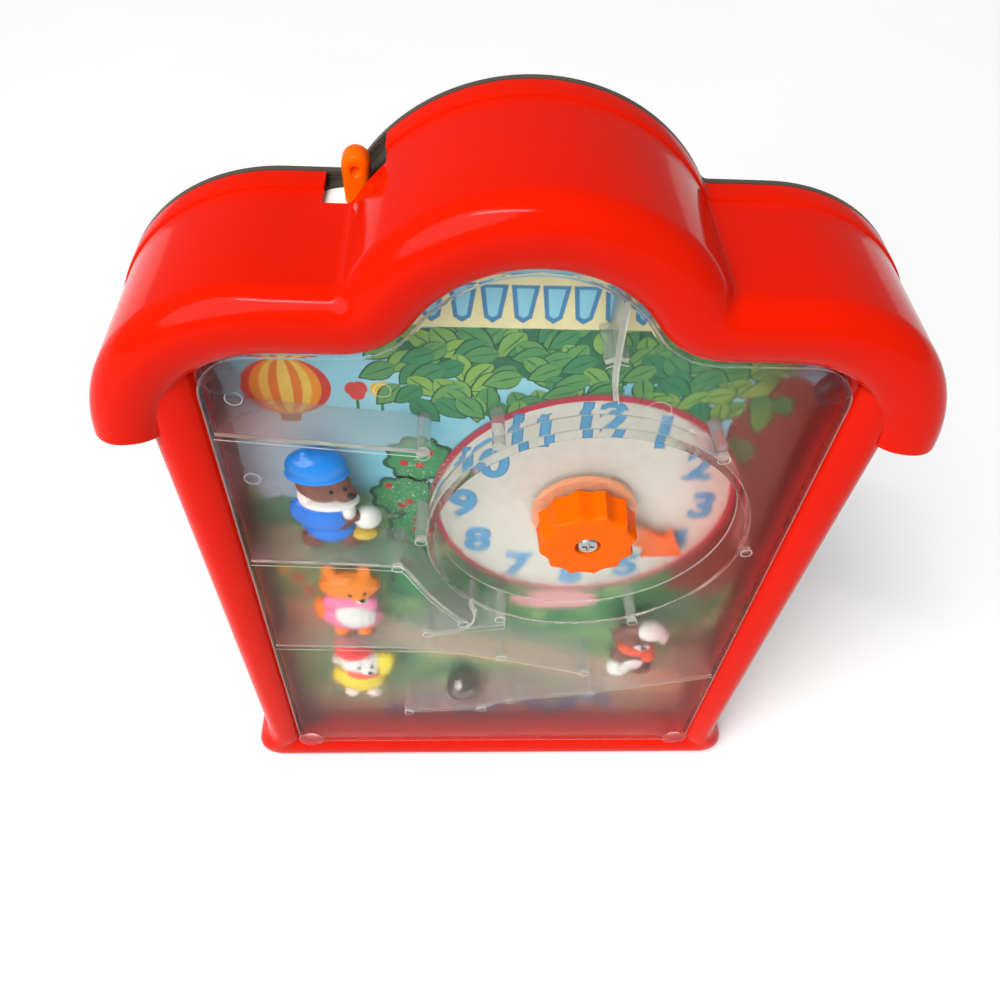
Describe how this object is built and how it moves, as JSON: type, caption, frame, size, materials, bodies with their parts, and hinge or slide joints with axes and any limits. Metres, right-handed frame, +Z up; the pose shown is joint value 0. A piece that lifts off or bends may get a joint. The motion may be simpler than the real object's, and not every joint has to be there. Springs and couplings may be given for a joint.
{
  "type": "toy clock",
  "caption": "Toy clock in a roofed case: a knob turns one hand on a click wheel, a ball rolls in a clear maze, small animals swing on pins and a lever springs back.",
  "frame": {"origin": "middle of the flat base", "axes": "+X to the viewer's right, +Y from the front to the back, +Z up"},
  "size_m": [0.2712, 0.0657, 0.3328],
  "materials": {
    "shell_red": "moulded, glossy",
    "cover_dark": "moulded, satin",
    "window_clear": "moulded clear, hazed by wear",
    "card_print": "printed paper card",
    "white_plastic": "moulded, satin",
    "orange_plastic": "moulded, satin gloss",
    "zinc_steel": "zinc plated",
    "polished_steel": "polished",
    "bear_paint": "painted vinyl",
    "fox_paint": "painted vinyl",
    "lamb_paint": "painted vinyl",
    "puppy_paint": "painted vinyl"
  },
  "bodies": {
    "case": {"backdrop_card": "card_print", "chassis_plate": "white_plastic", "chassis_screw_1": "zinc_steel", "chassis_screw_2": "zinc_steel", "chassis_screw_3": "zinc_steel", "chassis_screw_4": "zinc_steel", "click_spring": "zinc_steel", "click_spring_screw": "zinc_steel", "cover_screw_1": "zinc_steel", "cover_screw_2": "zinc_steel", "cover_screw_3": "zinc_steel", "cover_screw_4": "zinc_steel", "cover_screw_5": "zinc_steel", "cover_screw_6": "zinc_steel", "figure_pin_1": "zinc_steel", "figure_pin_2": "zinc_steel", "figure_pin_3": "zinc_steel", "figure_pin_4": "zinc_steel", "front_shell": "shell_red", "lever_pin": "zinc_steel", "lever_spring": "zinc_steel", "rear_cover": "cover_dark", "window_maze": "window_clear"},
    "hand": {"knob": "orange_plastic", "knob_screw": "zinc_steel", "hand_shaft": "zinc_steel", "clock_hand": "orange_plastic", "click_wheel": "white_plastic", "shaft_retainer": "zinc_steel"},
    "lever": {"lever": "orange_plastic", "lever_shutter": "white_plastic"},
    "ball": {"steel_ball": "polished_steel"},
    "bear": {"bear_figure": "bear_paint"},
    "fox": {"fox_figure": "fox_paint"},
    "lamb": {"lamb_figure": "lamb_paint"},
    "puppy": {"puppy_figure": "puppy_paint"}
  },
  "joints": [
    {"name": "hand_turn", "type": "hinge", "parent": "case", "child": "hand", "pos_m": [0.0265, 0, 0.19161], "axis": [0, 1, 0], "continuous": true},
    {"name": "lever_swing", "type": "hinge", "parent": "case", "child": "lever", "pos_m": [-0.05215, 0, 0.262], "axis": [0, 1, 0], "range_deg": [-8, 0], "stiffness_Nm_per_rad": 0.05, "springref_deg": 8.59, "deforming": ["lever_spring"]},
    {"name": "ball_roll", "type": "slide", "parent": "case", "child": "ball", "axis": [0.996, 0, 0.0893], "range_m": [-0.018, 0.003]},
    {"name": "bear_swing", "type": "hinge", "parent": "case", "child": "bear", "pos_m": [-0.06675, 0, 0.20766], "axis": [0, 1, 0], "range_deg": [-8, 8]},
    {"name": "fox_swing", "type": "hinge", "parent": "case", "child": "fox", "pos_m": [-0.06183, 0, 0.14373], "axis": [0, 1, 0], "range_deg": [-8, 8]},
    {"name": "lamb_swing", "type": "hinge", "parent": "case", "child": "lamb", "pos_m": [-0.06535, 0, 0.08735], "axis": [0, 1, 0], "range_deg": [-8, 8]},
    {"name": "puppy_swing", "type": "hinge", "parent": "case", "child": "puppy", "pos_m": [0.0594, 0, 0.10755], "axis": [0, 1, 0], "range_deg": [-8, 8]}
  ]
}
